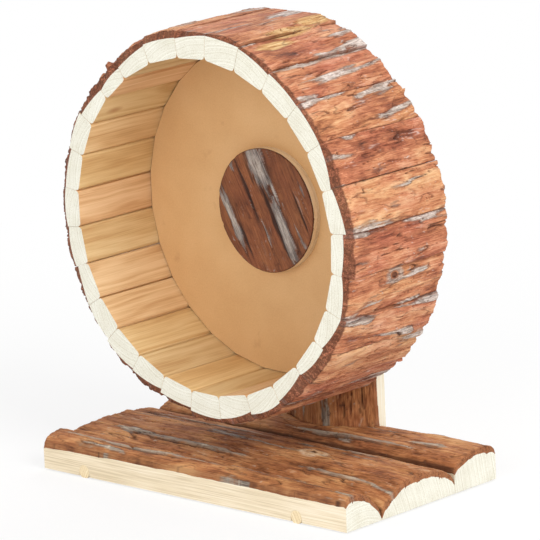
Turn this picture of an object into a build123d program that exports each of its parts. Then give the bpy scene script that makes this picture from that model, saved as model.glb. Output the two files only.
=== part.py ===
from build123d import *
from math import atan, cos, radians, sin, tan
import os

# Rodent exercise wheel: a drum of bark-covered staves that spins on a half-log stand.
# Millimetres. +Z is up, the drum's open side faces -Y, and the origin is the middle of
# the floor under the whole object. Sizes along Y below are counted from the base's front face.

# Base: three half logs side by side on two cross dowels
BASE_LENGTH = 296.0
LOG_GAP = 0.3
# Widths at the left and the right end. The middle log takes what is left of the base's depth.
FRONT_LOG_WIDTHS = (28.0, 37.5)
REAR_LOG_WIDTHS = (42.0, 46.0)
# The bark of each log at its left and right end: the crest's distance from the base's front
# face, its height over the log's underside, and the radius of the round there.
BARK_ROUNDS = {
    "front_log": ((14.3, 25.2, 21.7), (7.3, 22.7, 34.1)),
    "middle_log": ((65.9, 24.2, 191.7), (81.0, 22.2, 62.8)),
    "rear_log": ((147.4, 23.4, 51.6), (146.1, 25.4, 58.4)),
}

# Cross dowels, planed flat below, which carry the logs just clear of the floor
DOWEL_DIAMETER = 10.0
DOWEL_SUNK = 0.5
DOWEL_PROUD = 1.0
DOWEL_GROOVE_CLEARANCE = 0.1
DOWEL_LEFT_X = -107.0
DOWEL_RIGHT_X = 101.0

# Post: a half log on end, bark to the front, let into the rear log
POST_WIDTH = 89.0
POST_CROWN_DEPTH = 27.0
POST_EDGE_DEPTH = 12.0
POST_ABOVE_AXLE = 42.0
POST_SEAT_HEIGHT = 19.0
POST_NOTCH_CLEARANCE = 0.2
POST_TOP_ROUNDING = 3.0

# Drum
DRUM_ABOVE_FLOOR = 52.0
DRUM_SETBACK = 24.5
DRUM_TO_POST = 8.5
DRUM_INNER_RADIUS = 122.0
STAVE_LENGTH = 103.0
STAVE_GAP = 0.2
STAVE_CORNER_RADIUS = 1.5
STAVE_EDGE_DROP = 2.8
FIRST_JOINT_ANGLE = 148.5
# Staves in clockwise order seen from the open side, from the first joint: sawn width along
# the inner circle, and thickness over the bark. The widths are stretched to close the ring.
STAVE_WIDTHS = (
    26.5, 24.5, 28.5, 29.0, 26.0, 28.0, 28.0, 28.5, 28.5, 29.0, 29.5, 28.0, 27.5, 26.5,
    28.5, 28.5, 27.5, 27.5, 26.0, 27.5, 27.0, 27.0, 26.0, 26.5, 27.0, 26.5, 27.5, 26.5,
)
STAVE_THICKNESSES = (
    15.5, 17.5, 19.5, 20.0, 19.0, 21.0, 19.0, 17.0, 17.5, 18.5, 19.5, 18.5, 17.0, 18.5,
    17.5, 17.0, 18.5, 20.0, 20.0, 17.5, 19.0, 18.5, 17.5, 18.5, 17.5, 19.0, 17.5, 17.0,
)

# Back panel and hub
PANEL_THICKNESS = 8.0
PANEL_INSET = 20.0
PANEL_CLEARANCE = 0.1
HUB_DISC_DIAMETER = 91.0
HUB_DISC_THICKNESS = 9.3
HUB_LOG_RADIUS = 420.0
HUB_GRAIN_ANGLE = 12.0
HUB_BLOCK_DIAMETER = 70.0
HUB_BLOCK_INSET = 2.0
HUB_BLOCK_CHAMFER = 1.5

# Brads that hold the staves to the panel's edge
BRAD_WIDTH = 1.3
BRAD_THICKNESS = 1.0
BRAD_LENGTH = 30.0
BRAD_BELOW_BARK = 3.0

# Axle: a coach bolt that turns with the drum
AXLE_DIAMETER = 7.96
AXLE_PAST_NUT = 2.5
AXLE_HEAD_DIAMETER = 20.0
AXLE_HEAD_HEIGHT = 4.6
AXLE_NECK_LENGTH = 5.0
AXLE_END_CHAMFER = 1.0
SLEEVE_DIAMETER = 12.0
SHIM_THICKNESS = 1.0
NUT_ACROSS_FLATS = 13.0
NUT_HEX_HEIGHT = 6.0
NUT_COLLAR_HEIGHT = 2.0
NUT_COLLAR_DIAMETER = 11.0
NUT_CHAMFER_ANGLE = 30.0

# Ball bearings, 8 x 22 x 7
BEARING_DIAMETER = 22.0
BEARING_WIDTH = 7.0
BALL_COUNT = 7
BALL_DIAMETER = 3.969
SHOULDER_SPACING = 2.9
SHIELD_THICKNESS = 0.4
SHIELD_INSET = 0.3
SHIELD_GAP = 0.3
CAGE_RIM = 0.45
CAGE_THICKNESS = 1.5
SPOT_FACE_DIAMETER = 28.0
SPOT_FACE_DEPTH = 1.5
POST_BORE_DIAMETER = 17.0

# Screws
HUB_SCREW_DIAMETER = 3.5
HUB_SCREW_HEAD = 7.0
HUB_SCREW_BITE = 4.0
HUB_SCREW_CIRCLE = 50.0
HUB_SCREW_COUNT = 3
POST_SCREW_DIAMETER = 4.5
POST_SCREW_HEAD = 9.0
POST_SCREW_LENGTH = 50.0
POST_SCREW_SPACING = 50.0

# Clearances of what fits
BORE_CLEARANCE = 0.02
BALL_CLEARANCE = 0.05
CAGE_CLEARANCE = 0.07
HEAD_POCKET_CLEARANCE = 0.5

# Sizes and places that follow from the ones above
AXLE_HEIGHT = DRUM_ABOVE_FLOOR + DRUM_INNER_RADIUS + max(STAVE_THICKNESSES)
DRUM_REAR = DRUM_SETBACK + STAVE_LENGTH
PANEL_REAR = DRUM_REAR - PANEL_INSET
PANEL_FRONT = PANEL_REAR - PANEL_THICKNESS
HUB_BLOCK_REAR = DRUM_REAR - HUB_BLOCK_INSET
HUB_BLOCK_THICKNESS = HUB_BLOCK_REAR - PANEL_REAR
HUB_SCREW_LENGTH = HUB_BLOCK_THICKNESS + PANEL_THICKNESS + HUB_SCREW_BITE
POST_CROWN = DRUM_REAR + DRUM_TO_POST
BASE_DEPTH = POST_CROWN + POST_CROWN_DEPTH
FRONT_BEARING = POST_CROWN + SPOT_FACE_DEPTH
REAR_BEARING = BASE_DEPTH - BEARING_WIDTH
SHIM_REAR = BASE_DEPTH + SHIM_THICKNESS
TOTAL_DEPTH = SHIM_REAR + NUT_HEX_HEIGHT + NUT_COLLAR_HEIGHT + AXLE_PAST_NUT
AXLE_LENGTH = TOTAL_DEPTH - PANEL_FRONT
CENTRE = Pos(0, -TOTAL_DEPTH / 2, 0)
POST_SEAT = DOWEL_PROUD + POST_SEAT_HEIGHT
POST_TOP = AXLE_HEIGHT + POST_ABOVE_AXLE
BEARING_BORE = AXLE_DIAMETER + 2 * BORE_CLEARANCE
PITCH_RADIUS = (BEARING_DIAMETER + BEARING_BORE) / 4
GROOVE_RADIUS = BALL_DIAMETER / 2 + BALL_CLEARANCE
CAGE_WIDTH = BALL_DIAMETER + 2 * (CAGE_CLEARANCE + CAGE_RIM)
CUT_MARGIN = 2.0


def along_axle(shape, y):
    """Move a shape that was made around the Y axis to the axle, y from the base's front face."""
    return Pos(0, y, AXLE_HEIGHT) * shape


def ring(outer_radius, inner_radius, width):
    """A ring around the Y axis, from y = 0 to its width."""
    blank = Cylinder(outer_radius, width) - Cylinder(inner_radius, width)
    return Rot(-90, 0, 0) * Pos(0, 0, width / 2) * blank


def disc(radius, width):
    """A disc around the Y axis, from y = 0 to its width."""
    return Rot(-90, 0, 0) * Pos(0, 0, width / 2) * Cylinder(radius, width)


def turned(section):
    """A turned part: its half section, radius along X, turned around the Y axis."""
    return revolve(section, Axis.Y)


def screw_blank(length, shank_radius, head_radius, clearance=0.0):
    """A countersunk wood screw, head up at the origin and point down, or the hole for one."""
    shank = shank_radius + clearance
    head = head_radius + clearance
    cone_end = shank_radius - head_radius
    tip = -length - clearance
    outline = Polyline((0, 0), (head, 0), (shank, cone_end), (shank, tip + 2 * shank), (0, tip), close=True)
    return revolve(Plane.XZ * make_face(outline), Axis.Z)


# Base

def bark_cone(left, right, overshoot):
    """The round of a tapered log: a cone whose top line runs through the crests at both ends."""
    ends = ((-BASE_LENGTH / 2, *left), (BASE_LENGTH / 2, *right))
    (*narrow_crest, narrow_radius), (*wide_crest, wide_radius) = sorted(ends, key=lambda end: end[-1])
    run = Vector(*wide_crest) - Vector(*narrow_crest)
    slope = (wide_radius - narrow_radius) / run.length
    to_apex = narrow_radius / slope
    apex = Vector(*narrow_crest) - run.normalized() * to_apex
    reach = to_apex + run.length + overshoot
    angle = atan(slope)
    foot = (reach * cos(angle) ** 2, -reach * sin(angle) * cos(angle))
    half = make_face(Polyline((0, 0), (reach, 0), foot, close=True))
    side_view = Plane(apex, x_dir=run, z_dir=run.cross(Vector(0, 0, 1)))
    return side_view.location * revolve(half, Axis((0, 0, 0), foot))


def base_logs():
    """The three half logs before they are cut for dowels, post and screws."""
    blank_height = CUT_MARGIN + max(height for ends in BARK_ROUNDS.values() for _, height, _ in ends)
    joints = []
    for front_width, rear_width in zip(FRONT_LOG_WIDTHS, REAR_LOG_WIDTHS):
        joints.append((-LOG_GAP / 2, front_width, BASE_DEPTH - rear_width, BASE_DEPTH + LOG_GAP / 2))
    logs = {}
    for index, (name, rounds) in enumerate(BARK_ROUNDS.items()):
        left, right = [(places[index] + LOG_GAP / 2, places[index + 1] - LOG_GAP / 2) for places in joints]
        half = BASE_LENGTH / 2
        plan = Polyline((-half, left[0]), (half, right[0]), (half, right[1]), (-half, left[1]), close=True)
        blank = extrude(make_face(plan), blank_height)
        logs[name] = Pos(0, 0, DOWEL_PROUD) * (blank & bark_cone(*rounds, blank_height))
    return logs


def dowel_section(clearance=0.0):
    """A dowel's round section, or with a clearance the groove that it is pressed into from below."""
    radius = DOWEL_DIAMETER / 2
    middle = radius - DOWEL_SUNK
    if clearance:
        mouth = Pos(0, middle / 2) * Rectangle(DOWEL_DIAMETER + 2 * clearance, middle)
        return Pos(0, middle) * Circle(radius + clearance) + mouth
    planed_off = Pos(0, -radius) * Rectangle(DOWEL_DIAMETER, DOWEL_DIAMETER)
    return Pos(0, middle) * Circle(radius) - planed_off


def along_base(section, x):
    """Run a section in X and Z from the base's front face to its rear."""
    return Pos(x, 0, 0) * extrude(Plane.XZ * section, -BASE_DEPTH)


def post_plan(clearance=0.0):
    """The post seen from above: sawn rear and edges, and the round of the log at the front."""
    half = POST_WIDTH / 2 + clearance
    rear = BASE_DEPTH + clearance
    edge = BASE_DEPTH - POST_EDGE_DEPTH - clearance
    crown = (0, POST_CROWN - clearance)
    sides = Polyline((-half, edge), (-half, rear), (half, rear), (half, edge))
    return make_face(sides + ThreePointArc((half, edge), crown, (-half, edge)))


def post_screw_places():
    """Where the screws go up into the post: in the middle of its thickness there."""
    share = POST_SCREW_SPACING / POST_WIDTH
    thickness = POST_CROWN_DEPTH - (POST_CROWN_DEPTH - POST_EDGE_DEPTH) * share**2
    y = BASE_DEPTH - thickness / 2
    return [Pos(side * POST_SCREW_SPACING / 2, y, DOWEL_PROUD) for side in (-1, 1)]


def post_screws(clearance=0.0):
    """The two screws, driven upwards from the underside of the rear log."""
    screw = screw_blank(POST_SCREW_LENGTH, POST_SCREW_DIAMETER / 2, POST_SCREW_HEAD / 2, clearance)
    return [place * Rot(180, 0, 0) * screw for place in post_screw_places()]


def make_post():
    """The post with its stepped bore: a spot face, two bearing seats and a clear hole between."""
    body = Pos(0, 0, POST_SEAT) * extrude(post_plan(), POST_TOP - POST_SEAT)
    top_corners = body.edges().filter_by(Axis.Y).sort_by(Axis.Z)[-2:]
    body = fillet(top_corners, POST_TOP_ROUNDING)
    bearing_seat = disc(BEARING_DIAMETER / 2, BEARING_WIDTH)
    seat_length = BEARING_WIDTH + SPOT_FACE_DEPTH
    body -= along_axle(disc(SPOT_FACE_DIAMETER / 2, SPOT_FACE_DEPTH + CUT_MARGIN), POST_CROWN - CUT_MARGIN)
    body -= along_axle(disc(BEARING_DIAMETER / 2, seat_length), POST_CROWN)
    body -= along_axle(bearing_seat, REAR_BEARING)
    body -= along_axle(disc(POST_BORE_DIAMETER / 2, POST_CROWN_DEPTH), POST_CROWN)
    for hole in post_screws(BORE_CLEARANCE):
        body -= hole
    return body


def make_stand():
    """Base logs, dowels, post and the screws between them."""
    parts = base_logs()
    groove = dowel_section(DOWEL_GROOVE_CLEARANCE)
    for name in parts:
        parts[name] -= along_base(groove, DOWEL_LEFT_X)
        parts[name] -= along_base(groove, DOWEL_RIGHT_X)
    notch = extrude(post_plan(POST_NOTCH_CLEARANCE), POST_TOP)
    parts["rear_log"] -= Pos(0, 0, POST_SEAT) * notch
    for hole in post_screws(BORE_CLEARANCE):
        parts["rear_log"] -= hole
    parts["dowel_left"] = along_base(dowel_section(), DOWEL_LEFT_X)
    parts["dowel_right"] = along_base(dowel_section(), DOWEL_RIGHT_X)
    parts["post"] = make_post()
    parts["post_screws"] = Compound(children=post_screws())
    return parts


# Drum

def joint_angles():
    """The angle of each joint between staves, from +X towards +Z, going clockwise from the first."""
    total = sum(STAVE_WIDTHS)
    angles = [FIRST_JOINT_ANGLE]
    for width in STAVE_WIDTHS:
        angles.append(angles[-1] - 360 * width / total)
    return angles


def stave_section(half_angle, thickness):
    """A stave's section with its middle up: planed flat inside, bevelled sides, bark outside."""
    side = radians(half_angle)
    inset = STAVE_GAP / 2
    crown = DRUM_INNER_RADIUS + thickness
    edge = crown - STAVE_EDGE_DROP

    def corner(radius, hand):
        return (hand * (radius * sin(side) - inset * cos(side)), radius * cos(side) + inset * sin(side))

    left, right = corner(edge, -1), corner(edge, 1)
    sides = Polyline(left, corner(DRUM_INNER_RADIUS, -1), corner(DRUM_INNER_RADIUS, 1), right)
    face = make_face(sides + ThreePointArc(right, (0, crown), left))
    return fillet(face.vertices().sort_by(Axis.Y)[:2], STAVE_CORNER_RADIUS)


def brad_blank(thickness, clearance=0.0):
    """One flat brad of an upright stave, sunk below the bark, or its hole with the way in above it."""
    head = DRUM_INNER_RADIUS + thickness - BRAD_BELOW_BARK
    top = head + (BRAD_BELOW_BARK + CUT_MARGIN if clearance else 0)
    bottom = head - BRAD_LENGTH - clearance
    blank = Box(BRAD_WIDTH + 2 * clearance, BRAD_THICKNESS + 2 * clearance, top - bottom)
    return Pos(0, 0, (top + bottom) / 2) * blank


def make_drum():
    """Staves, their brads and the back panel that the brads go into."""
    parts = {}
    brads = []
    angles = joint_angles()
    corners = [Vector(DRUM_INNER_RADIUS, 0).rotate(Axis.Z, angle) for angle in angles[:-1]]
    lining = make_face(Polyline(*corners, close=True))
    outline = offset(lining, -PANEL_CLEARANCE, kind=Kind.INTERSECTION)
    panel = along_axle(extrude(Plane.XZ * outline, -PANEL_THICKNESS), PANEL_FRONT)
    brad_y = PANEL_FRONT + PANEL_THICKNESS / 2
    for index, thickness in enumerate(STAVE_THICKNESSES):
        middle = (angles[index] + angles[index + 1]) / 2
        half_angle = (angles[index] - angles[index + 1]) / 2
        turn = Rot(0, 90 - middle, 0)
        stave = extrude(Plane.XZ * stave_section(half_angle, thickness), -STAVE_LENGTH)
        hole = along_axle(turn * brad_blank(thickness, BORE_CLEARANCE), brad_y)
        parts[f"stave_{index + 1:02d}"] = along_axle(turn * stave, DRUM_SETBACK) - hole
        panel -= hole
        brads.append(along_axle(turn * brad_blank(thickness), brad_y))
    neck = AXLE_DIAMETER + 2 * BORE_CLEARANCE
    panel -= along_axle(Box(neck, 4 * PANEL_THICKNESS, neck), PANEL_FRONT)
    for hole in hub_screws(BORE_CLEARANCE):
        panel -= hole
    parts["back_panel"] = panel
    parts["stave_brads"] = Compound(children=brads)
    return parts


# Hub

def hub_screws(clearance=0.0):
    """The screws from behind through the hub block and the panel into the hub disc."""
    screw = screw_blank(HUB_SCREW_LENGTH, HUB_SCREW_DIAMETER / 2, HUB_SCREW_HEAD / 2, clearance)
    forward = Pos(0, 0, HUB_SCREW_CIRCLE / 2) * Rot(-90, 0, 0) * screw
    turns = [Rot(0, 45 + 360 * index / HUB_SCREW_COUNT, 0) for index in range(HUB_SCREW_COUNT)]
    return [along_axle(turn * forward, HUB_BLOCK_REAR) for turn in turns]


def make_hub():
    """Hub disc with its round of bark, hub block, screws and the metal that turns with them."""
    axle_radius = AXLE_DIAMETER / 2
    log = Pos(0, HUB_LOG_RADIUS - HUB_DISC_THICKNESS, 0) * Cylinder(HUB_LOG_RADIUS, 2 * HUB_DISC_DIAMETER)
    blank = Pos(0, -HUB_DISC_THICKNESS, 0) * disc(HUB_DISC_DIAMETER / 2, HUB_DISC_THICKNESS)
    hub_disc = blank & (Rot(0, HUB_GRAIN_ANGLE, 0) * log)
    pocket_radius = AXLE_HEAD_DIAMETER / 2 + HEAD_POCKET_CLEARANCE
    pocket_depth = AXLE_HEAD_HEIGHT + HEAD_POCKET_CLEARANCE
    hub_disc -= Pos(0, -pocket_depth, 0) * disc(pocket_radius, pocket_depth)
    hub_disc = along_axle(hub_disc, PANEL_FRONT)
    block = disc(HUB_BLOCK_DIAMETER / 2, HUB_BLOCK_THICKNESS)
    rear_rim = block.edges().filter_by(GeomType.CIRCLE).sort_by(Axis.Y)[-1]
    block = chamfer(rear_rim, HUB_BLOCK_CHAMFER) - disc(axle_radius + BORE_CLEARANCE, HUB_BLOCK_THICKNESS)
    block = along_axle(block, PANEL_REAR)
    for hole in hub_screws(BORE_CLEARANCE):
        hub_disc -= hole
        block -= hole
    sleeve_radius = SLEEVE_DIAMETER / 2
    bore = BEARING_BORE / 2
    between = REAR_BEARING - FRONT_BEARING - BEARING_WIDTH
    return {
        "hub_disc": hub_disc,
        "hub_block": block,
        "hub_screws": Compound(children=hub_screws()),
        "axle_bolt": make_axle(),
        "axle_sleeve": along_axle(ring(sleeve_radius, bore, FRONT_BEARING - HUB_BLOCK_REAR), HUB_BLOCK_REAR),
        "bearing_spacer": along_axle(ring(sleeve_radius, bore, between), FRONT_BEARING + BEARING_WIDTH),
        "shim_washer": along_axle(ring(sleeve_radius, bore, SHIM_THICKNESS), BASE_DEPTH),
        "lock_nut": make_nut(),
    }


def make_axle():
    """Coach bolt: domed head against the panel's front, square neck in the panel, plain shank."""
    head_radius = AXLE_HEAD_DIAMETER / 2
    top = (0, -AXLE_HEAD_HEIGHT)
    rim = (head_radius, 0)
    dome = ThreePointArc(top, (0.7 * head_radius, -0.55 * AXLE_HEAD_HEIGHT), rim)
    head = turned(make_face(dome + Polyline(rim, (0, 0), top)))
    shank = disc(AXLE_DIAMETER / 2, AXLE_LENGTH)
    end = shank.edges().filter_by(GeomType.CIRCLE).sort_by(Axis.Y)[-1]
    shank = chamfer(end, AXLE_END_CHAMFER)
    neck = Pos(0, AXLE_NECK_LENGTH / 2, 0) * Box(AXLE_DIAMETER, AXLE_NECK_LENGTH, AXLE_DIAMETER)
    return along_axle(head + neck + shank, PANEL_FRONT)


def make_nut():
    """Lock nut: a chamfered hexagon with a round collar behind it."""
    flat = NUT_ACROSS_FLATS / 2
    corner = flat / cos(radians(30))
    hexagon = extrude(Plane.XZ * RegularPolygon(corner, 6), -NUT_HEX_HEIGHT)
    slope = (corner - flat) * tan(radians(NUT_CHAMFER_ANGLE))
    lower = ((0, 0), (flat, 0), (corner, slope))
    upper = ((corner, NUT_HEX_HEIGHT - slope), (flat, NUT_HEX_HEIGHT), (0, NUT_HEX_HEIGHT))
    nut = hexagon & turned(make_face(Polyline(*lower, *upper, close=True)))
    nut += Pos(0, NUT_HEX_HEIGHT, 0) * disc(NUT_COLLAR_DIAMETER / 2, NUT_COLLAR_HEIGHT)
    nut -= disc(BEARING_BORE / 2, NUT_HEX_HEIGHT + NUT_COLLAR_HEIGHT)
    return along_axle(nut, SHIM_REAR)


# Bearings

def race_section(inner_radius, outer_radius):
    """A race's half section, with the groove that the balls run in."""
    middle = (inner_radius + outer_radius) / 2
    blank = Pos(middle, 0) * Rectangle(outer_radius - inner_radius, BEARING_WIDTH)
    return blank - Pos(PITCH_RADIUS, 0) * Circle(GROOVE_RADIUS)


def make_bearing(prefix, y):
    """One shielded ball bearing, its front face at y."""
    half = BEARING_WIDTH / 2
    inner_shoulder = PITCH_RADIUS - SHOULDER_SPACING / 2
    outer_shoulder = PITCH_RADIUS + SHOULDER_SPACING / 2
    shield = ring(outer_shoulder - BORE_CLEARANCE, inner_shoulder + SHIELD_GAP, SHIELD_THICKNESS)
    places = (-half + SHIELD_INSET, half - SHIELD_INSET - SHIELD_THICKNESS)
    shields = [along_axle(Pos(0, place, 0) * shield, y + half) for place in places]
    cage_radius = PITCH_RADIUS + CAGE_THICKNESS / 2
    cage = Pos(0, -CAGE_WIDTH / 2, 0) * ring(cage_radius, cage_radius - CAGE_THICKNESS, CAGE_WIDTH)
    window = BALL_DIAMETER + 2 * CAGE_CLEARANCE
    pocket = Pos(0, 0, PITCH_RADIUS) * Box(window, window, 2 * CAGE_THICKNESS)
    ball = Pos(0, 0, PITCH_RADIUS) * Sphere(BALL_DIAMETER / 2)
    balls = []
    for index in range(BALL_COUNT):
        turn = Rot(0, 360 * index / BALL_COUNT, 0)
        cage -= turn * pocket
        balls.append(along_axle(turn * ball, y + half))
    outer = race_section(outer_shoulder, BEARING_DIAMETER / 2 - BORE_CLEARANCE)
    inner = race_section(BEARING_BORE / 2, inner_shoulder)
    return {
        f"{prefix}_bearing_outer_race": along_axle(turned(outer), y + half),
        f"{prefix}_bearing_inner_race": along_axle(turned(inner), y + half),
        f"{prefix}_bearing_shields": Compound(children=shields),
        f"{prefix}_bearing_cage": along_axle(cage, y + half),
        f"{prefix}_bearing_balls": Compound(children=balls),
    }


def main():
    os.makedirs("parts", exist_ok=True)
    parts = make_stand()
    parts.update(make_drum())
    parts.update(make_hub())
    parts.update(make_bearing("front", FRONT_BEARING))
    parts.update(make_bearing("rear", REAR_BEARING))
    for name, shape in parts.items():
        export_step(CENTRE * shape, f"parts/{name}.step")


main()
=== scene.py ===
from math import atan2, cos, pi, radians, sin, tan

import bpy
import numpy as np
from mathutils import Matrix, Vector
from mathutils.bvhtree import BVHTree


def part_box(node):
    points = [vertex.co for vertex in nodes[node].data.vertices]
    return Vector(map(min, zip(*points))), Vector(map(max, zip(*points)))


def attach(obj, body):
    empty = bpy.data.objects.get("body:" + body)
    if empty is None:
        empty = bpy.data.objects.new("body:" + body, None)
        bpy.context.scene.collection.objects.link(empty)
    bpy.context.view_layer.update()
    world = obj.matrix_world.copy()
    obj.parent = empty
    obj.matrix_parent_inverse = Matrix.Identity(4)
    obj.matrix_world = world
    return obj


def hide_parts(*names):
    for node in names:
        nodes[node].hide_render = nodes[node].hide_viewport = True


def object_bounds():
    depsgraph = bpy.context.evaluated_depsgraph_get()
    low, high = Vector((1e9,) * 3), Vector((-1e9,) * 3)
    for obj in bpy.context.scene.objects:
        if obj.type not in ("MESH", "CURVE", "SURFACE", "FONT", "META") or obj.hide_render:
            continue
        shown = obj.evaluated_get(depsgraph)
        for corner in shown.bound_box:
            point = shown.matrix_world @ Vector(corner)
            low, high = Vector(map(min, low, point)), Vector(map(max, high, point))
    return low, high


# Looks of a rodent exercise wheel: bark, wood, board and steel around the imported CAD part.
# Metres in the CAD frame: the drum turns around Y at the axle, and its open side faces -Y.

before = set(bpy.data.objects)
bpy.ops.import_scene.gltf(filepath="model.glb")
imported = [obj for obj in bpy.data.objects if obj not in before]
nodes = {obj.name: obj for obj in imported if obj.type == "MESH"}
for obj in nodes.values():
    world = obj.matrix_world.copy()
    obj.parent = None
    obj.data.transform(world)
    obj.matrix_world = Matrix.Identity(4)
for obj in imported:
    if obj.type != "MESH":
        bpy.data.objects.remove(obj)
cad_low, cad_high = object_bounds()
MM = 0.001

# Camera, fitted to the photograph: metres, degrees and millimetres
CAMERA_PLACE = (2.148, -2.315, 0.8965)
CAMERA_YAW = 42.78
CAMERA_PITCH = 13.27
CAMERA_ROLL = -2.53
CAMERA_LENS = 300.0
CAMERA_SENSOR = 36.0
CAMERA_SIGHT = 100.0

# How far each pattern lifts the bark, or cuts it, in millimetres
RELIEF_SHARES = {
    "level": 0.62, "swell": 0.9, "fibre": 0.24, "strand": 0.30, "thread": 0.10, "crumbs": 0.12,
    "flakes": 0.45, "chips": 0.3, "cracks": -2.0,
}
# How far each pattern moves the bark's tone, which runs from 0 for dark to 1 for light
TONE_SHARES = {"patches": 0.40, "fibre": 0.16, "strand": 0.14, "level": 0.06, "spots": 0.16}
TONE_MIDDLE = 0.56

# Staves
STAVE_COUNT = 28
STAVE_CELL_ACROSS = 0.62 * MM
STAVE_CELL_ALONG = 0.75 * MM
STAVE_WALL_ROWS = (5, 3)
STAVE_LIFT = 0.9 * MM
STAVE_SEED = 5000
STAVE_SEED_STEP = 101
STAVE_DRAWS_SEED = 1000
# The pale wood's thickness at each joint in millimetres, clockwise from the first joint. Most of
# the values are results of a camera fit to points read in the photograph.
WOOD_AT_JOINTS = (
    12.6, 9.9, 10.9, 13.8, 13.7, 16.5, 16.6, 15.4, 12.9, 12.9, 8.5, 13.7, 10.4, 14.5,
    10.7, 8.9, 14.3, 14.5, 16.9, 15.0, 13.4, 15.8, 14.8, 14.0, 12.8, 14.5, 13.1, 12.2,
)
WOOD_CORNER_STEP = 2.3 * MM
WOOD_BULGE = (0.4 * MM, 2.2 * MM)
FOOT_STEP = 1.0 * MM
INNER_CORNER = 2.6 * MM
LEAST_BARK = 1.3 * MM
BARK_THINNED = (0.6, 1.0)
BARK_THINNED_FOR = 10 * MM
BOX_MARGIN = 0.1 * MM
LEAST_UP = 0.2
# Torn ends of a stave's bark: least and swing in millimetres, features and the most that is torn
TORN_FRONT = (0.5, 1.3, 8, 6 * MM)
TORN_REAR = (0.4, 1.2, 7, 5 * MM)
TORN_LEAST = 0.5 * MM
# Sides of a stave's bark, in millimetres in from its joints
SIDE_INSET = 0.02
SIDE_WANDER = 0.3
SIDE_SINK = 0.5 * MM
SIDE_BITS = 1.8 * MM
CROWN_ROUNDING = 0.45
GREYER_SIDE = 0.27
LESS_GREY = 0.03
# How far one stave differs from the next
SLANT_SPREAD = 0.10
TONE_SPREAD = 0.08
HUE_SPREAD = 0.22
GRAIN_SPREAD = 0.02
GRAIN_STEP = 0.37
# Marks in the drum's bark, in millimetres and degrees: distance from the drum's front, angle
# from +X towards +Z, and sizes
BARK_HOLES = ((8, 28, 1.0), (20, 16, 1.0), (30, 57, 0.8), (12, 49, 0.8))
BARK_KNOTS = ((49, -11, 5),)
BARK_FLAPS = ((3, 129, 5.0), (5, 134, 2.6), (4, 168, 2.2), (99, -48, 3.0), (100, 41, 2.6))
GOLDEN_BARK = ((93, 76, 7, 26), (55, 73, 6, 30), (30, 69, 5, 22))
HOLE_DEPTH = 2.2 * MM
KNOT_RISE = 1.2 * MM
GOLDEN_DEPTH = 0.5 * MM

# Half logs
LOG_CELL = 0.8 * MM
LOG_WALL_ROWS = (6, 3)
LOG_BARK = 4.6 * MM
LOG_LIFT = 1.2 * MM
LOG_SAMPLES = (61, 25)
LOG_SAMPLE_INSET = 0.2 * MM
LOG_GREYER = -0.10
LOG_SLANT = 0.02
# Painted shade: how strongly the bark is darkened in the valleys along a log's sides, where the logs meet
VALLEY_PAINTED_SHADE = 0.85
VALLEY_DEPTH = 1.6 * MM
END_DROP = 0.8 * MM
RIM_SHADE = 0.7
DOWEL_FIT = 0.1 * MM
GROOVE_LINES = 0.01 * MM
NOTCH_BESIDE = 0.2 * MM
NOTCH_BEFORE = 0.9 * MM
NOTCH_BELOW = 0.1 * MM
# Marks in the base's bark, in millimetres: x, y and sizes
BASE_EYES = ((52, -12, 6.5),)
BASE_HOLES = ((129, -78, 1.6), (96, 20, 1.1), (104, -30, 1.2))
BASE_CRACKS = (
    (-52, -41, 1.3, 66), (-60, -77, 1.0, 78), (40, 38, 1.0, 60), (96, -36, 0.9, 34),
    (109, 46, 1.2, 16), (70, 14, 0.7, 34), (58, -66, 1.2, 44), (-70, 10, 0.7, 50),
)
BASE_HOLE_DEPTH = 2.0 * MM
BASE_CRACK_DEPTH = 1.6 * MM
BASE_LIP_RISE = 0.5 * MM
EYE_RISE = 0.9 * MM
EYE_STRETCH = 1.9

# Post
POST_CELL = 1.0 * MM
POST_WALL_ROWS = (5, 3)
POST_BARK = 3.0 * MM
POST_SEED = 470
POST_EDGE = 12 * MM
POST_TOP_RADIUS = 3 * MM
POST_RELIEF_LIMIT = 0.8 * MM
# The bore for the bearings: the flat round it, the hole's parts, and the cutter
SPOT_REACH = 16.5 * MM
SPOT_DEPTH = 0.4 * MM
FRONT_HOLE_RADIUS = 14 * MM
THROUGH_HOLE_RADIUS = 8.5 * MM
SEAT_CLEARANCE = 0.02 * MM
CUTTER_MARGIN = 5 * MM
CUTTER_SEGMENTS = 96

# Hub disc
HUB_RINGS = 62
HUB_SEGMENTS = 240
HUB_BARK = 1.0 * MM
HUB_GRAIN = radians(-27)
HUB_SEED = 911
HUB_OFFSET = 0.2
HUB_GREYER = -0.14
HUB_CRACK_SHADE = 0.35
HUB_TONE_MIDDLE = 0.5
HUB_TONE_SWING = 0.6
HUB_FACE_INSET = 0.9 * MM
HUB_RELIEF_SHARE = 0.5
HUB_POCKET_RADIUS = 10.5 * MM
HUB_POCKET_DEPTH = 5.1 * MM
# Grey streaks and cracks of its bark: x, z, half width and half length over the disc's radius
HUB_STREAKS = (
    (-0.15, 0.74, 0.17, 0.42), (-0.72, -0.18, 0.07, 0.55), (0.42, -0.32, 0.11, 0.62), (0.16, 0.42, 0.03, 0.4),
)
HUB_CRACKS = (
    (-0.38, 0.28, 0.035, 0.6), (0.18, -0.12, 0.04, 0.7), (-0.45, -0.5, 0.03, 0.3), (0.72, 0.1, 0.02, 0.4),
)

# Order of the materials on a carved piece
FOOT, SAWN_END, BARK_EDGE, BARK = range(4)


# Noise in plain arrays

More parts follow.
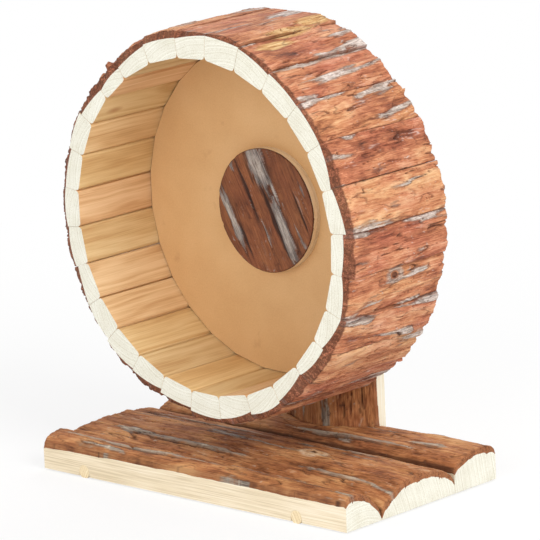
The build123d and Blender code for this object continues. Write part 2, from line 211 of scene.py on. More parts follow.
def gradient_noise(x, y, seed):
    """Smooth noise of about -1 to 1, with features one unit apart."""
    rng = np.random.default_rng(seed)
    table = rng.permutation(512)
    angles = rng.uniform(0, 2 * pi, 512)
    gx, gy = np.cos(angles), np.sin(angles)
    x0, y0 = np.floor(x).astype(int), np.floor(y).astype(int)
    fx, fy = x - x0, y - y0
    sx, sy = fx * fx * (3 - 2 * fx), fy * fy * (3 - 2 * fy)

    def corner(dx, dy):
        index = table[(table[(x0 + dx) % 512] + y0 + dy) % 512]
        return gx[index] * (fx - dx) + gy[index] * (fy - dy)

    near = corner(0, 0) * (1 - sx) + corner(1, 0) * sx
    far = corner(0, 1) * (1 - sx) + corner(1, 1) * sx
    return 1.5 * (near * (1 - sy) + far * sy)


def layered_noise(x, y, seed, octaves=3):
    total = 0
    for octave in range(octaves):
        scale = 2 ** octave
        total = total + gradient_noise(x * scale, y * scale, seed + 17 * octave) / scale
    return total / 1.6


def step(low, high, value):
    """0 at low, 1 at high and smooth between, where low may be the larger of the two."""
    t = np.clip((value - low) / (high - low), 0, 1)
    return t * t * (3 - 2 * t)


def raise_mask(masks, key, value):
    masks[key] = np.maximum(masks[key], value)


class Fibres:
    """Noise over bark, with features of a size across and along its fibres in millimetres."""

    def __init__(self, across, along, seed, slant):
        self.u = across / MM
        self.v = along / MM
        self.seed = seed
        self.u = self.u + slant * self.v + 3.2 * self.layers(30, 45, 1) + 0.9 * self.waves(7, 16, 2)

    def layers(self, wide, long, shift, octaves=3):
        return layered_noise(self.u / wide, self.v / long, self.seed + shift, octaves)

    def waves(self, wide, long, shift):
        return gradient_noise(self.u / wide, self.v / long, self.seed + shift)


def thin_line(width, noise):
    """1 along the lines where the noise passes through zero."""
    return step(width, 0.0, np.abs(noise))


def bark_plates(fibres):
    """The bark's slow swell, the level of its stepped plates and the place between two steps."""
    swell = fibres.layers(22, 60, 3)
    plates = 2.2 * fibres.layers(9, 60, 4, 2) + 1.5 * swell
    whole = np.floor(plates)
    share = plates - whole
    level = np.clip(whole + step(0.0, 0.10, share) + 0.35 * share, -2, 2)
    return swell, level, share


def bark_cracks(fibres):
    split = thin_line(0.07, fibres.waves(6.5, 70, 7)) * step(-0.05, 0.3, fibres.layers(14, 30, 8))
    bent = fibres.u / 13 + 0.5 * fibres.waves(3, 3, 20)
    across = gradient_noise(bent, fibres.v / 7, fibres.seed + 9)
    return split, thin_line(0.06, across) * step(0.36, 0.55, fibres.layers(9, 11, 10))


def bark_field(across, along, seed, slant=0.0, greyer=0.0):
    """Relief in metres and the colour masks of bark whose fibres run along, a little slanted."""
    fibres = Fibres(across, along, seed, slant)
    swell, level, share = bark_plates(fibres)
    split, cross = bark_cracks(fibres)
    fibre = fibres.layers(1.5, 30, 5)
    crumbs = fibres.waves(1.3, 2.2, 11)
    edge = step(0.16, 0.02, share) * step(-0.3, 0.3, fibres.waves(10, 20, 12))
    flaking = fibres.layers(9, 62, 13) + 0.10 * level + 0.10 * fibre + greyer
    flakes = step(0.36, 0.46, flaking + 0.04 * crumbs)
    flake_rim = step(0.30, 0.36, flaking) * step(0.46, 0.38, flaking)
    pale = step(0.56, 0.72, flaking + 0.15 * crumbs + 0.25 * fibres.waves(4, 9, 14))
    lines = thin_line(0.07, fibres.waves(2.6, 38, 25)) * step(0.1, 0.45, fibres.layers(11, 36, 24))
    chips = step(0.42, 0.52, fibres.layers(2.4, 5.5, 22)) * step(0.15, 0.5, fibres.layers(14, 26, 21))
    dark = np.clip(np.maximum(split, cross) + 0.6 * edge + 0.5 * flake_rim, 0, 1)
    patterns = {
        "level": level, "swell": swell, "fibre": fibre, "strand": fibres.layers(3.4, 70, 16, 2),
        "thread": fibres.waves(0.8, 14, 6), "crumbs": crumbs, "flakes": flakes, "chips": chips,
        "cracks": np.maximum(split, 0.8 * cross),
        "patches": fibres.layers(16, 46, 15), "spots": fibres.layers(5, 9, 23),
    }
    relief = sum(part * patterns[key] for key, part in RELIEF_SHARES.items())
    tone = sum((part * patterns[key] for key, part in TONE_SHARES.items()), TONE_MIDDLE)
    masks = {
        "flakes": np.maximum(flakes, 0.7 * chips),
        "pale": np.maximum(pale, np.maximum(0.6 * chips, 0.65 * lines)),
        "tone": np.clip(tone, 0, 1),
        "hue": np.clip(0.5 + 0.6 * fibres.layers(12, 38, 18, 2), 0, 1),
        "dark": dark,
        "gold": np.zeros_like(relief),
    }
    return relief * MM, masks


# Closed slabs: a carved top over a plain foot, with walls between them

def perimeter(rows, columns):
    """Grid indices round the edge, counter-clockwise from above: front, right, rear, left."""
    front = [(i, 0) for i in range(rows)]
    right = [(rows - 1, j) for j in range(1, columns)]
    rear = [(i, columns - 1) for i in range(rows - 2, -1, -1)]
    left = [(0, j) for j in range(columns - 2, 0, -1)]
    return np.array(front + right + rear + left)


def around(grid):
    """A grid's values round its edge."""
    edge = perimeter(*grid.shape[:2])
    return grid[edge[:, 0], edge[:, 1]]


def foot_strips(ring, rows, columns):
    """The underside as one face per row of the grid, from the front wall to the rear wall."""
    corner = rows + columns - 2
    strips = []
    for i in range(rows - 1):
        strip = [ring[i], ring[i + 1]]
        if i == rows - 2:
            strip += ring[rows:corner]
        strip += [ring[corner + rows - 2 - i], ring[corner + rows - 1 - i]]
        if i == 0:
            strip += ring[corner + rows:]
        strips.append(strip[::-1])
    return strips


def add_values(mesh, values):
    """Stores numbers or vectors on the points, for the materials to read."""
    for name, data in values.items():
        data = np.asarray(data, np.float32)
        kind, field = ("FLOAT", "value") if data.ndim == 1 else ("FLOAT_VECTOR", "vector")
        mesh.attributes.new(name, kind, "POINT").data.foreach_set(field, data.ravel())


def new_object(name, data):
    made = bpy.data.objects.new(name, data)
    bpy.context.scene.collection.objects.link(made)
    return made


def new_piece(name, points, faces, kinds, smooth, materials, values):
    """An object from points and faces, with a material and smoothing for each face."""
    mesh = bpy.data.meshes.new(name)
    mesh.from_pydata(points.tolist(), [], faces)
    mesh.polygons.foreach_set("material_index", np.asarray(kinds, np.int32))
    mesh.polygons.foreach_set("use_smooth", np.asarray(smooth, bool))
    for material in materials:
        mesh.materials.append(material)
    add_values(mesh, values)
    mesh.update()
    return new_object(name, mesh)


def slab(name, top, low, line, wall_rows, masks, materials, grain, ends="columns", ragged=None):
    """A closed mesh from a grid of the top, and the foot and the wood's upper line along its edge.

    wall_rows counts the rows of wood and of bark up the wall. The materials are those of the foot
    and sides, of the sawn ends, of the bark's edge and of the bark. grain turns points into the
    coordinates of the wood: across, up and along it.
    """
    rows, columns = top.shape[:2]
    wood_rows, bark_rows = wall_rows
    high = around(top)
    count = len(high)
    levels = [low + (line - low) * k / wood_rows for k in range(wood_rows)]
    for k in range(bark_rows):
        level = line + (high - line) * k / bark_rows
        levels.append(level if ragged is None or k == 0 else level + ragged)
    points = np.concatenate([top.reshape(-1, 3)] + levels)
    cells = np.arange(rows * columns).reshape(rows, columns)
    rings = [rows * columns + k * count + np.arange(count) for k in range(wood_rows + bark_rows)]
    rings.append(around(cells))
    lid = np.stack([cells[:-1, :-1], cells[1:, :-1], cells[1:, 1:], cells[:-1, 1:]], -1).reshape(-1, 4)
    corner = rows + columns - 2
    on_column_ends = np.zeros(count, int)
    on_column_ends[: rows - 1] = 1
    on_column_ends[corner: corner + rows - 1] = 1
    wood_kinds = on_column_ends if ends == "columns" else 1 - on_column_ends
    faces, kinds = [lid], [np.full(len(lid), BARK)]
    for k, (lower, upper) in enumerate(zip(rings, rings[1:])):
        faces.append(np.stack([lower, np.roll(lower, -1), np.roll(upper, -1), upper], -1))
        kinds.append(np.full(count, BARK_EDGE) if k >= wood_rows else wood_kinds)
    strips = foot_strips(rings[0].tolist(), rows, columns)
    kinds = np.concatenate(kinds + [np.full(len(strips), FOOT)])
    values = {"grain": grain(points)}
    for key, data in masks.items():
        values[key] = np.concatenate([data.ravel()] + [around(data)] * len(levels))
    faces = np.concatenate(faces).tolist() + strips
    return new_piece(name, points, faces, kinds, kinds >= BARK_EDGE, materials, values)


# Materials

def shade(red, green, blue):
    """A colour of 0 to 255 as seen on a screen, as the renderer wants it."""
    shares = [channel / 255 for channel in (red, green, blue)]
    linear = [share / 12.92 if share < 10 / 255 else ((share + 0.055) / 1.055) ** 2.4 for share in shares]
    return tuple(linear) + (1,)


def shades(colours):
    return [shade(*colour) for colour in colours]


class Nodes:
    """A node tree, put together one node at a time."""

    def __init__(self, owner):
        owner.use_nodes = True
        self.tree = owner.node_tree

    def join(self, source, target):
        if isinstance(source, bpy.types.NodeSocket):
            self.tree.links.new(source, target)
        else:
            target.default_value = source

    def node(self, kind, inputs=(), **settings):
        made = self.tree.nodes.new(kind)
        for key, value in settings.items():
            setattr(made, key, value)
        for socket, value in dict(inputs).items():
            self.join(value, made.inputs[socket])
        return made

    def math(self, operation, *values):
        return self.node("ShaderNodeMath", dict(enumerate(values)), operation=operation).outputs[0]

    def seen_directly(self):
        """1 for rays of the camera, of reflections and through glass."""
        rays = self.node("ShaderNodeLightPath").outputs
        share = self.math("MAXIMUM", rays["Is Camera Ray"], rays["Is Glossy Ray"])
        return self.math("MAXIMUM", share, rays["Is Transmission Ray"])

    def blend(self, share, first, second, output):
        """Shows a mix of two shaders at an output."""
        made = self.node("ShaderNodeMixShader", {0: share, 1: first.outputs[0], 2: second.outputs[0]})
        self.join(made.outputs[0], self.tree.nodes[output].inputs["Surface"])


class Look(Nodes):
    def __init__(self, name, **sockets):
        self.material = bpy.data.materials.new(name)
        super().__init__(self.material)
        self.shader = self.tree.nodes["Principled BSDF"]
        self.done(**sockets)

    def value(self, name, kind="Fac"):
        return self.node("ShaderNodeAttribute", attribute_name=name).outputs[kind]

    def place(self):
        return self.node("ShaderNodeTexCoord").outputs["Object"]

    def along(self, axes):
        """The object's place with its axes in another order, such as xzy."""
        place = self.node("ShaderNodeSeparateXYZ", {0: self.place()})
        parts = {socket: place.outputs["xyz".index(axis)] for socket, axis in enumerate(axes)}
        return self.node("ShaderNodeCombineXYZ", parts).outputs[0]

    def stretch(self, vector, scale, offset=(0, 0, 0)):
        inputs = {0: vector, 1: scale, 2: offset}
        return self.node("ShaderNodeVectorMath", inputs, operation="MULTIPLY_ADD").outputs[0]

    def length(self, vector):
        return self.node("ShaderNodeVectorMath", {0: vector}, operation="LENGTH").outputs["Value"]

    def noise(self, vector, scale, detail=3.0, distortion=0.0, rough=0.55, offset=(0, 0, 0)):
        """Noise from 0 to 1, with scale features per metre on each axis."""
        inputs = {"Scale": 1.0, "Detail": detail, "Distortion": distortion, "Roughness": rough}
        inputs["Vector"] = self.stretch(vector, scale, offset)
        return self.node("ShaderNodeTexNoise", inputs).outputs["Fac"]

    def plus(self, first, second):
        return self.math("ADD", first, second)

    def times(self, first, second):
        return self.math("MULTIPLY", first, second)

    def swing(self, noise, share):
        """Noise of 0 to 1 as a change up or down, of up to half the share."""
        return self.times(self.math("SUBTRACT", noise, 0.5), share)

    def window(self, value, low, high, to_low=0.0, to_high=1.0, smooth="LINEAR"):
        inputs = {"Value": value, "From Min": low, "From Max": high, "To Min": to_low, "To Max": to_high}
        return self.node("ShaderNodeMapRange", inputs, interpolation_type=smooth).outputs[0]

    def mix(self, share, first, second, blend="MIX"):
        made = self.node("ShaderNodeMix", data_type="RGBA", blend_type=blend)
        self.join(share, made.inputs[0])
        self.join(first, made.inputs[6])
        self.join(second, made.inputs[7])
        return made.outputs[2]

    def ramp(self, value, *stops):
        made = self.node("ShaderNodeValToRGB", {"Fac": value})
        ramp = made.color_ramp
        while len(ramp.elements) < len(stops):
            ramp.elements.new(1.0)
        for element, (place, colour) in zip(ramp.elements, stops):
            element.position = place
            element.color = colour
        return made.outputs["Color"]

    def bump(self, height, distance, strength=1.0):
        inputs = {"Height": height, "Distance": distance, "Strength": strength}
        return self.node("ShaderNodeBump", inputs).outputs["Normal"]

    def done(self, **sockets):
        for socket, value in sockets.items():
            self.join(value, self.shader.inputs[socket.replace("_", " ")])
        return self.material


# Shine below that of plastic, for bark, wood and board
DULL = 0.35
WOOD_HEART = (0, 0.045, 0)
WOOD_ROUGHNESS = (0.54, 0.74)
KNOT_BROWN = shade(166, 108, 64)
PORE_BROWN = shade(168, 150, 118)
# Faint tints that make one planed stave differ from the next
TINTS = (
    (0.0, shade(255, 236, 224)), (0.35, shade(255, 248, 238)),
    (0.7, shade(250, 243, 216)), (1.0, shade(236, 238, 228)),
)


def wood_look(name, colours, ring_pitch, waves, streaks, speckle=0.0, tints=(), axes=""):
    """Solid wood: rings round the log's heart, fibres, pores, tints and knots.

    Its coordinates come from the mesh, or from the object's axes named as across, up and along.
    """
    look = Look(name, Specular_IOR_Level=DULL)
    dark, middle, light = shades(colours)
    grain = look.along(axes) if axes else look.value("grain", "Vector")
    wander = look.noise(grain, (30, 30, 9), 2.0)
    distance = look.length(look.stretch(grain, (1, 1, 0), WOOD_HEART))
    turns = look.plus(look.math("DIVIDE", distance, ring_pitch), look.times(wander, waves))
    inputs = {"W": turns, "Scale": 1.0, "Detail": 2.0}
    rings = look.node("ShaderNodeTexNoise", inputs, noise_dimensions="1D").outputs["Fac"]
    fibres = look.noise(grain, (1400, 1400, 22))
    patches = look.noise(grain, (60, 60, 14))
    mixed = look.plus(look.times(rings, 1.0 - streaks), look.times(fibres, streaks))
    mixed = look.plus(mixed, look.swing(patches, 0.35))
    colour = look.ramp(mixed, (0.34, dark), (0.5, middle), (0.66, light))
    if tints:
        colour = look.mix(1.0, colour, look.ramp(look.value("tint"), *tints), "MULTIPLY")
        knots = look.node("ShaderNodeTexVoronoi", {"Vector": look.stretch(grain, (21, 21, 8)), "Scale": 1.0})
        colour = look.mix(look.window(knots.outputs["Distance"], 0.04, 0.09, 0.75, 0.0), colour, KNOT_BROWN)
    if speckle:
        pores = look.noise(grain, (1500, 1500, 1500), 1.0)
        colour = look.mix(look.window(pores, 0.66, 0.72, 0.0, speckle), colour, PORE_BROWN)
    return look.done(
        Base_Color=colour,
        Roughness=look.window(fibres, 0.2, 0.8, *WOOD_ROUGHNESS),
        Normal=look.bump(look.plus(fibres, look.times(rings, 0.6)), 0.0002, 0.5),
    )


def bark_look(name, blotches, deep, edge, pale, red, tawny, grey):
    """Bark: red and tawny fibres, grey flakes, golden inner bark, dark cracks, painted shade and a torn edge.
    """
    look = Look(name, Specular_IOR_Level=DULL)
    deep, edge, pale = shades((deep, edge, pale))
    red, tawny, grey, gold = shades(red), shades(tawny), shades(grey), shades(GOLDEN_COLOURS)
    grain = look.value("grain", "Vector")
    fibres = look.noise(grain, (1100, 1100, 55), 4.0, 0.8)
    fine = look.noise(grain, (2600, 2600, 240), 2.0)
    blots = look.noise(grain, (260, 260, 90), 5.0, 0.8, 0.65)
    tone = look.plus(look.value("tone"), look.swing(fibres, 1.0))
    tone = look.plus(tone, look.swing(blots, blotches))
    red_side = look.ramp(tone, (0.06, deep), (0.34, red[0]), (0.60, red[1]), (0.95, red[2]))
    tawny_side = look.ramp(tone, (0.06, deep), (0.34, tawny[0]), (0.60, tawny[1]), (0.95, tawny[2]))
    colour = look.mix(look.value("hue"), red_side, tawny_side)
    grey_side = look.ramp(fibres, (0.36, grey[0]), (0.5, grey[1]), (0.64, grey[2]))
    gold_side = look.ramp(fibres, (0.36, gold[0]), (0.5, gold[1]), (0.66, gold[2]))
    flecks = look.times(look.value("flakes"), look.window(fine, 0.3, 0.55, 0.6, 1.0))
    colour = look.mix(flecks, colour, grey_side)
    colour = look.mix(look.times(look.value("pale"), look.window(fine, 0.4, 0.6, 0.3, 1.0)), colour, pale)
    colour = look.mix(look.value("gold"), colour, gold_side)
    # The dark mask holds dark cracks, holes, knots and flake rims, and on the logs also painted shade in the
    # valleys
    colour = look.mix(look.times(look.value("dark"), 0.88), colour, deep)
    torn = look.plus(look.times(fibres, 0.5), look.times(blots, 0.5))
    colour = look.mix(look.value("rim"), colour, look.ramp(torn, (0.36, deep), (0.5, edge), (0.66, red[1])))
    return look.done(
        Base_Color=colour,
        Roughness=look.window(look.plus(fine, look.value("flakes")), 0.3, 1.5, 0.76, 0.46),
        Normal=look.bump(look.plus(look.plus(fibres, blots), look.times(fine, 0.4)), 0.0009, 0.9),
    )


def board_look():
    """Smooth tan hardboard with faint stains and a felted grain."""
    look = Look("panel_board", Specular_IOR_Level=DULL)
    place = look.place()
    felt = look.noise(place, (900, 900, 900), 4.0)
    cloud = look.noise(place, (22, 22, 22), 4.0)
    stain = look.noise(place, (48, 48, 40), offset=(3, 5, 1))
    mixed = look.plus(look.times(felt, 0.5), look.times(cloud, 0.5))
    dark, middle, light = shades(((196, 152, 102), (206, 164, 114), (214, 174, 126)))
    colour = look.ramp(mixed, (0.3, dark), (0.5, middle), (0.7, light))
    colour = look.mix(look.window(stain, 0.66, 0.76, 0.0, 0.35), colour, shade(158, 112, 64))
    return look.done(
        Base_Color=colour,
        Roughness=look.window(felt, 0.3, 0.7, 0.5, 0.66),
        Normal=look.bump(felt, 0.0001, 0.4),
    )


def steel_look(name, colour, roughness, marks):
    """Turned or pressed steel: fine brushing, and a few dull marks."""
    look = Look(name, Metallic=1.0)
    place = look.place()
    brushing = look.noise(place, (600, 6000, 600))
    dull = look.noise(place, (260, 260, 260))
    tinted = look.mix(look.window(dull, 0.45, 0.7, 0.0, marks), colour, shade(120, 118, 112))
    return look.done(
        Base_Color=tinted,
        Roughness=look.window(look.plus(brushing, dull), 0.7, 1.3, roughness, roughness + 0.2),
        Normal=look.bump(brushing, 0.00003, 0.3),
    )


def plastic_look():
    look = Look("cage_plastic")
    speckle = look.noise(look.place(), (1200, 1200, 1200), 2.0)
    colour = look.ramp(speckle, (0.4, shade(216, 206, 178)), (0.6, shade(228, 220, 196)))
    return look.done(Base_Color=colour, Roughness=look.window(speckle, 0.3, 0.7, 0.35, 0.5))


GOLDEN_COLOURS = ((172, 116, 64), (208, 158, 98), (234, 204, 152))
end_grain = wood_look(
    "end_grain", ((210, 205, 186), (224, 221, 206), (234, 232, 220)), 0.0012, 2.5, 0.5, 0.85)
planed_wood = wood_look(
    "planed_wood", ((200, 160, 116), (221, 190, 149), (234, 209, 172)), 0.0017, 3.0, 0.4, tints=TINTS)
sawn_wood = wood_look("sawn_wood", ((206, 188, 156), (228, 212, 183), (240, 228, 206)), 0.0013, 1.5, 0.7)
# Sawn wood lighter than the base's, as painted light, for the post's brightly lit sides and back
post_wood_painted_light = wood_look("post_wood_painted_light", ((232, 220, 190), (244, 236, 212), (250, 246, 230)), 0.0013, 1.5, 0.6)
# Sawn wood for the hub disc's rim: pale wood, made lighter still by painted light against the drum's shade
rim_wood_painted_light = wood_look("rim_wood_painted_light", ((228, 206, 170), (244, 228, 198), (250, 240, 220)), 0.0012, 1.5, 0.5)
dowel_wood = wood_look(
    "dowel_wood", ((208, 184, 142), (230, 210, 172), (242, 228, 198)), 0.0014, 3.0, 0.5, axes="xzy")
block_wood = wood_look(
    "block_wood", ((206, 172, 120), (228, 202, 156), (240, 222, 184)), 0.0017, 3.0, 0.4, axes="xyz")
drum_bark = bark_look(
    "drum_bark", 0.6, deep=(76, 38, 26), edge=(104, 58, 34), pale=(232, 216, 206),
    red=((152, 80, 56), (192, 114, 84), (226, 164, 134)),
    tawny=((158, 96, 60), (204, 140, 94), (234, 188, 138)),
    grey=((118, 100, 90), (166, 150, 138), (208, 196, 184)))
base_bark = bark_look(
    "base_bark", 0.45, deep=(60, 32, 17), edge=(146, 88, 52), pale=(222, 208, 184),
    red=((124, 68, 38), (174, 108, 66), (212, 152, 102)),
    tawny=((130, 80, 42), (184, 124, 74), (222, 170, 112)),
    grey=((98, 90, 80), (146, 136, 122), (188, 178, 160)))
hub_bark = bark_look(
    "hub_bark", 0.6, deep=(36, 18, 12), edge=(92, 50, 30), pale=(200, 188, 176),
    red=((98, 52, 34), (128, 72, 46), (156, 94, 60)),
    tawny=((102, 60, 36), (134, 82, 50), (162, 106, 66)),
    grey=((84, 78, 76), (124, 118, 114), (170, 162, 156)))
panel_board = board_look()
zinc_steel = steel_look("zinc_steel", shade(206, 208, 206), 0.28, 0.5)
bearing_steel = steel_look("bearing_steel", shade(214, 214, 212), 0.16, 0.2)
shield_steel = steel_look("shield_steel", shade(196, 196, 192), 0.3, 0.35)
cage_plastic = plastic_look()


# Places measured on the CAD

def node_points(name):
    """A CAD node's vertices as an array."""
    points = np.empty(len(nodes[name].data.vertices) * 3, np.float32)
    nodes[name].data.vertices.foreach_get("co", points)
    return points.reshape(-1, 3).astype(float)


def from_axle(points):
    return points[:, [0, 2]] - (0, AXLE_HEIGHT)


def round_corner(offset, half, radius):
    """How far a corner of this radius falls away, at an offset from the middle of a side."""
    past = np.clip(np.abs(offset) - (half - radius), 0, radius)
    return radius - np.sqrt(radius ** 2 - past ** 2)


axle_low, axle_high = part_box("axle_bolt")
AXLE_HEIGHT = (axle_low.z + axle_high.z) / 2
post_low, post_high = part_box("post")
dowels = [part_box("dowel_left"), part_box("dowel_right")]


# Staves

class StavePlace:
    """Where a stave sits round the axle, measured on its CAD mesh."""

    def __init__(self, name):
        cad = node_points(name)
        flat = from_axle(cad)
        rough = atan2(flat[:, 1].mean(), flat[:, 0].mean())
        turned = np.angle(np.exp(1j * (np.arctan2(flat[:, 1], flat[:, 0]) - rough)))
        self.middle = rough + (turned.min() + turned.max()) / 2
        self.slope = tan((turned.max() - turned.min()) / 2)
        self.up = np.array((cos(self.middle), sin(self.middle)))
        self.side = np.array((sin(self.middle), -cos(self.middle)))
        heights, laterals = flat @ self.up, flat @ self.side
        self.foot, self.crown = heights.min(), heights.max()
        self.edge = heights[np.argmax(laterals)]
        self.half = self.edge * self.slope
        self.front = cad[:, 1].min()
        self.length = cad[:, 1].max() - self.front

    def points(self, lateral, height, y):
        """Points to the side of the stave's middle, at a height from the axle."""
        lateral, height, y = np.broadcast_arrays(lateral, height, y)
        flat = lateral[..., None] * self.side + height[..., None] * self.up
        return np.stack([flat[..., 0], y, flat[..., 1] + AXLE_HEIGHT], -1)

    def wall(self, s, height, y):
        """Points on the stave's walls, whose sides lie on planes through the axle."""
        return self.points(s * height * self.slope, height, y)


def mark_bark(height, masks, lateral, along, stave):
    """Insect holes, knots, torn flaps and golden inner bark where the photograph shows them."""

    def offset(degrees):
        return lateral - (stave.middle - radians(degrees)) * stave.crown

    for place, degrees, size in BARK_HOLES:
        hole = step(1.3, 0.7, np.hypot(offset(degrees), along - place * MM) / (size * MM))
        height = height - HOLE_DEPTH * hole
        raise_mask(masks, "dark", 1.1 * hole)
    for place, degrees, size in BARK_KNOTS:
        around = np.hypot(offset(degrees), (along - place * MM) / 1.4) / (size * MM)
        near = np.exp(-around ** 2)
        height = height + KNOT_RISE * near * np.cos(around * 6)
        raise_mask(masks, "dark", step(0.55, 0.3, around))
        raise_mask(masks, "flakes", 0.8 * step(1.5, 1.0, around) * step(0.5, 0.7, around))
    for place, degrees, rise in BARK_FLAPS:
        away = np.hypot(offset(degrees) / (1.6 * MM), (along - place * MM) / (5 * MM))
        height = height + rise * MM * step(1.2, 0.3, away)
    for place, degrees, width, length in GOLDEN_BARK:
        frayed = 0.35 * layered_noise(lateral / MM / 2.5, along / MM / 22, 77)
        away = np.hypot(offset(degrees) / (width * MM), (along - place * MM) / (length * MM))
        golden = step(1.1, 0.6, away + frayed)
        raise_mask(masks, "gold", golden)
        height = height - GOLDEN_DEPTH * golden
        masks["flakes"] = masks["flakes"] * (1 - golden)
    return height


def torn_end(across, seed, least, swing, feature, most):
    """How far the bark is torn back from a stave's end."""
    torn = (least + swing * (1 + layered_noise(across / MM / feature, 0 * across, seed)) ** 2) * MM
    return np.clip(torn, TORN_LEAST, most)


def stave_bark(stave, s, lateral, along, seed, rng):
    """Height and colour masks of a stave's bark. s runs from -1 to 1 across the stave."""
    s = s[:, None]
    greyer = GREYER_SIDE * step(0.5, 1.0, s * rng.choice((-1, 1))) - LESS_GREY
    relief, masks = bark_field(lateral, along, seed, rng.uniform(-SLANT_SPREAD, SLANT_SPREAD), greyer)
    arc = stave.crown - CROWN_ROUNDING * (stave.crown - stave.edge) * s ** 2
    sunk = step(0.9, 1.0, np.abs(s)) * step(-0.5, 0.5, gradient_noise(along / MM / 18, s, seed + 45))
    height = arc + relief + STAVE_LIFT - SIDE_SINK * sunk
    bits = np.maximum(0, layered_noise(along / MM / 5, 4 * s + 0 * along, seed + 46) - 0.1)
    height = height + SIDE_BITS * bits * step(0.8, 0.97, np.abs(s))
    height = mark_bark(height, masks, lateral, along, stave)
    for key, spread in (("tone", TONE_SPREAD), ("hue", HUE_SPREAD)):
        masks[key] = np.clip(masks[key] + rng.uniform(-spread, spread), 0, 1)
    return height, masks


def stave_wood(stave, index, s, rng):
    """Height of the pale wood's upper line across a stave, between the values at its two joints."""
    joints = [WOOD_AT_JOINTS[(index + k) % STAVE_COUNT] * MM for k in (0, 1)]
    left, right = [joint + rng.uniform(-1, 1) * WOOD_CORNER_STEP for joint in joints]
    wood = left + (right - left) * (s + 1) / 2 + rng.uniform(*WOOD_BULGE) * (1 - s ** 2)
    return stave.foot + wood


def stave_foot(stave, s, rng):
    """Height of a stave's planed face, with small steps from stave to stave and rounded corners."""
    inner_half = stave.foot * stave.slope
    rounded = round_corner(s * inner_half, inner_half, INNER_CORNER)
    left, right = rng.uniform(0, FOOT_STEP, 2)
    rise = left + (right - left) * (s + 1) / 2
    return stave.foot + rise + rounded


def make_stave(index):
    """One stave: planed wood below, sawn ends, and bark that is torn back at both ends."""
    name = f"stave_{index + 1:02d}"
    rng = np.random.default_rng(STAVE_DRAWS_SEED + index)
    seed = STAVE_SEED + STAVE_SEED_STEP * index
    stave = StavePlace(name)

    def grain(points):
        flat = from_axle(points)
        across = flat @ stave.side + rng.uniform(-GRAIN_SPREAD, GRAIN_SPREAD)
        return np.stack([across, flat @ stave.up - stave.foot, points[:, 1] + index * GRAIN_STEP], -1)

    rows = int(round(2 * stave.half / STAVE_CELL_ACROSS)) + 1
    columns = int(round(stave.length / STAVE_CELL_ALONG)) + 1
    s = np.linspace(-1, 1, rows)
    t = np.linspace(0, 1, columns)
    torn_front = torn_end(s * stave.half, seed + 40, *TORN_FRONT)
    torn_rear = torn_end(s * stave.half, seed + 41, *TORN_REAR)
    along = torn_front[:, None] + (stave.length - torn_front - torn_rear)[:, None] * t
    wander = [layered_noise(t * stave.length / MM / 11, 0 * t + hand, seed + 42) for hand in (3.5, 9.5)]
    left_half, right_half = stave.half - (SIDE_INSET + SIDE_WANDER * np.maximum(0, wander)) * MM
    lateral = s[:, None] * np.where(s[:, None] < 0, left_half, right_half)
    height, masks = stave_bark(stave, s, lateral, along, seed, rng)
    wood = stave_wood(stave, index, s, rng)
    past_front = along - torn_front[:, None]
    at_front = rng.uniform(*BARK_THINNED)
    thinned = at_front + (1 - at_front) * step(0, BARK_THINNED_FOR, past_front)
    height = wood[:, None] + (height - wood[:, None]) * thinned
    height = np.maximum(height, wood[:, None] + LEAST_BARK)
    if stave.up[1] > 0:
        reach = cad_high.z - BOX_MARGIN - AXLE_HEIGHT
        height = np.minimum(height, (reach - lateral * stave.side[1]) / max(stave.up[1], LEAST_UP))
    top = stave.points(lateral * height / stave.edge, height, stave.front + along)
    edge = perimeter(rows, columns)
    edge_s = s[edge[:, 0]]
    edge_y = stave.front + stave.length * t[edge[:, 1]]
    low = stave.wall(edge_s, stave_foot(stave, edge_s, rng), edge_y)
    line = stave.wall(edge_s, wood[edge[:, 0]], edge_y)
    frayed = past_front + 0.8 * MM * layered_noise(lateral / MM / 2, along / MM / 2, seed + 43)
    masks["rim"] = np.maximum(0.9 * step(1.6 * MM, 0.0, frayed), 0.6 * step(0.95, 1.0, np.abs(s))[:, None])
    masks["tint"] = np.full_like(lateral, rng.uniform())
    ragged = np.zeros((len(edge), 3))
    ragged[:, 1] = 0.5 * MM * gradient_noise(edge_s * stave.half / MM / 1.5, edge_y / MM / 1.5, seed + 44)
    materials = (planed_wood, end_grain, drum_bark, drum_bark)
    piece = slab(f"{name}_slab", top, low, line, STAVE_WALL_ROWS, masks, materials, grain, ragged=ragged)
    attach(piece, "drum")
    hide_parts(name)


for stave_index in range(STAVE_COUNT):
    make_stave(stave_index)


# Half logs of the base

class LogPlan:
    """A log seen from above: straight sides between its two ends, from its CAD corners."""

    def __init__(self, name):
        cad = node_points(name)
        self.low_x, self.high_x, self.floor = cad[:, 0].min(), cad[:, 0].max(), cad[:, 2].min()
        left = cad[cad[:, 0] < self.low_x + MM]
        right = cad[cad[:, 0] > self.high_x - MM]
        self.fronts = (left[:, 1].min(), right[:, 1].min())
        self.rears = (left[:, 1].max(), right[:, 1].max())

    def sides(self, x):
        share = (x - self.low_x) / (self.high_x - self.low_x)
        return [left + (right - left) * share for left, right in (self.fronts, self.rears)]

    def spread(self, x, t, inset=0.0):
        """y over a grid, where t runs from 0 at the front to 1 at the rear."""
        front, rear = self.sides(x)
        front, rear = front + inset, rear - inset
        return front[:, None] + (rear - front)[:, None] * t


def surface_heights(name, xs, ys):
    """The CAD top of a node over a grid, by rays from above."""
    mesh = nodes[name].data
    tree = BVHTree.FromPolygons([v.co[:] for v in mesh.vertices], [p.vertices[:] for p in mesh.polygons])
    found = np.full(xs.shape, np.nan)
    for index in np.ndindex(xs.shape):
        hit = tree.ray_cast(Vector((xs[index], ys[index], 1.0)), Vector((0, 0, -1)))
        if hit[0] is not None:
            found[index] = hit[0].z
    return found


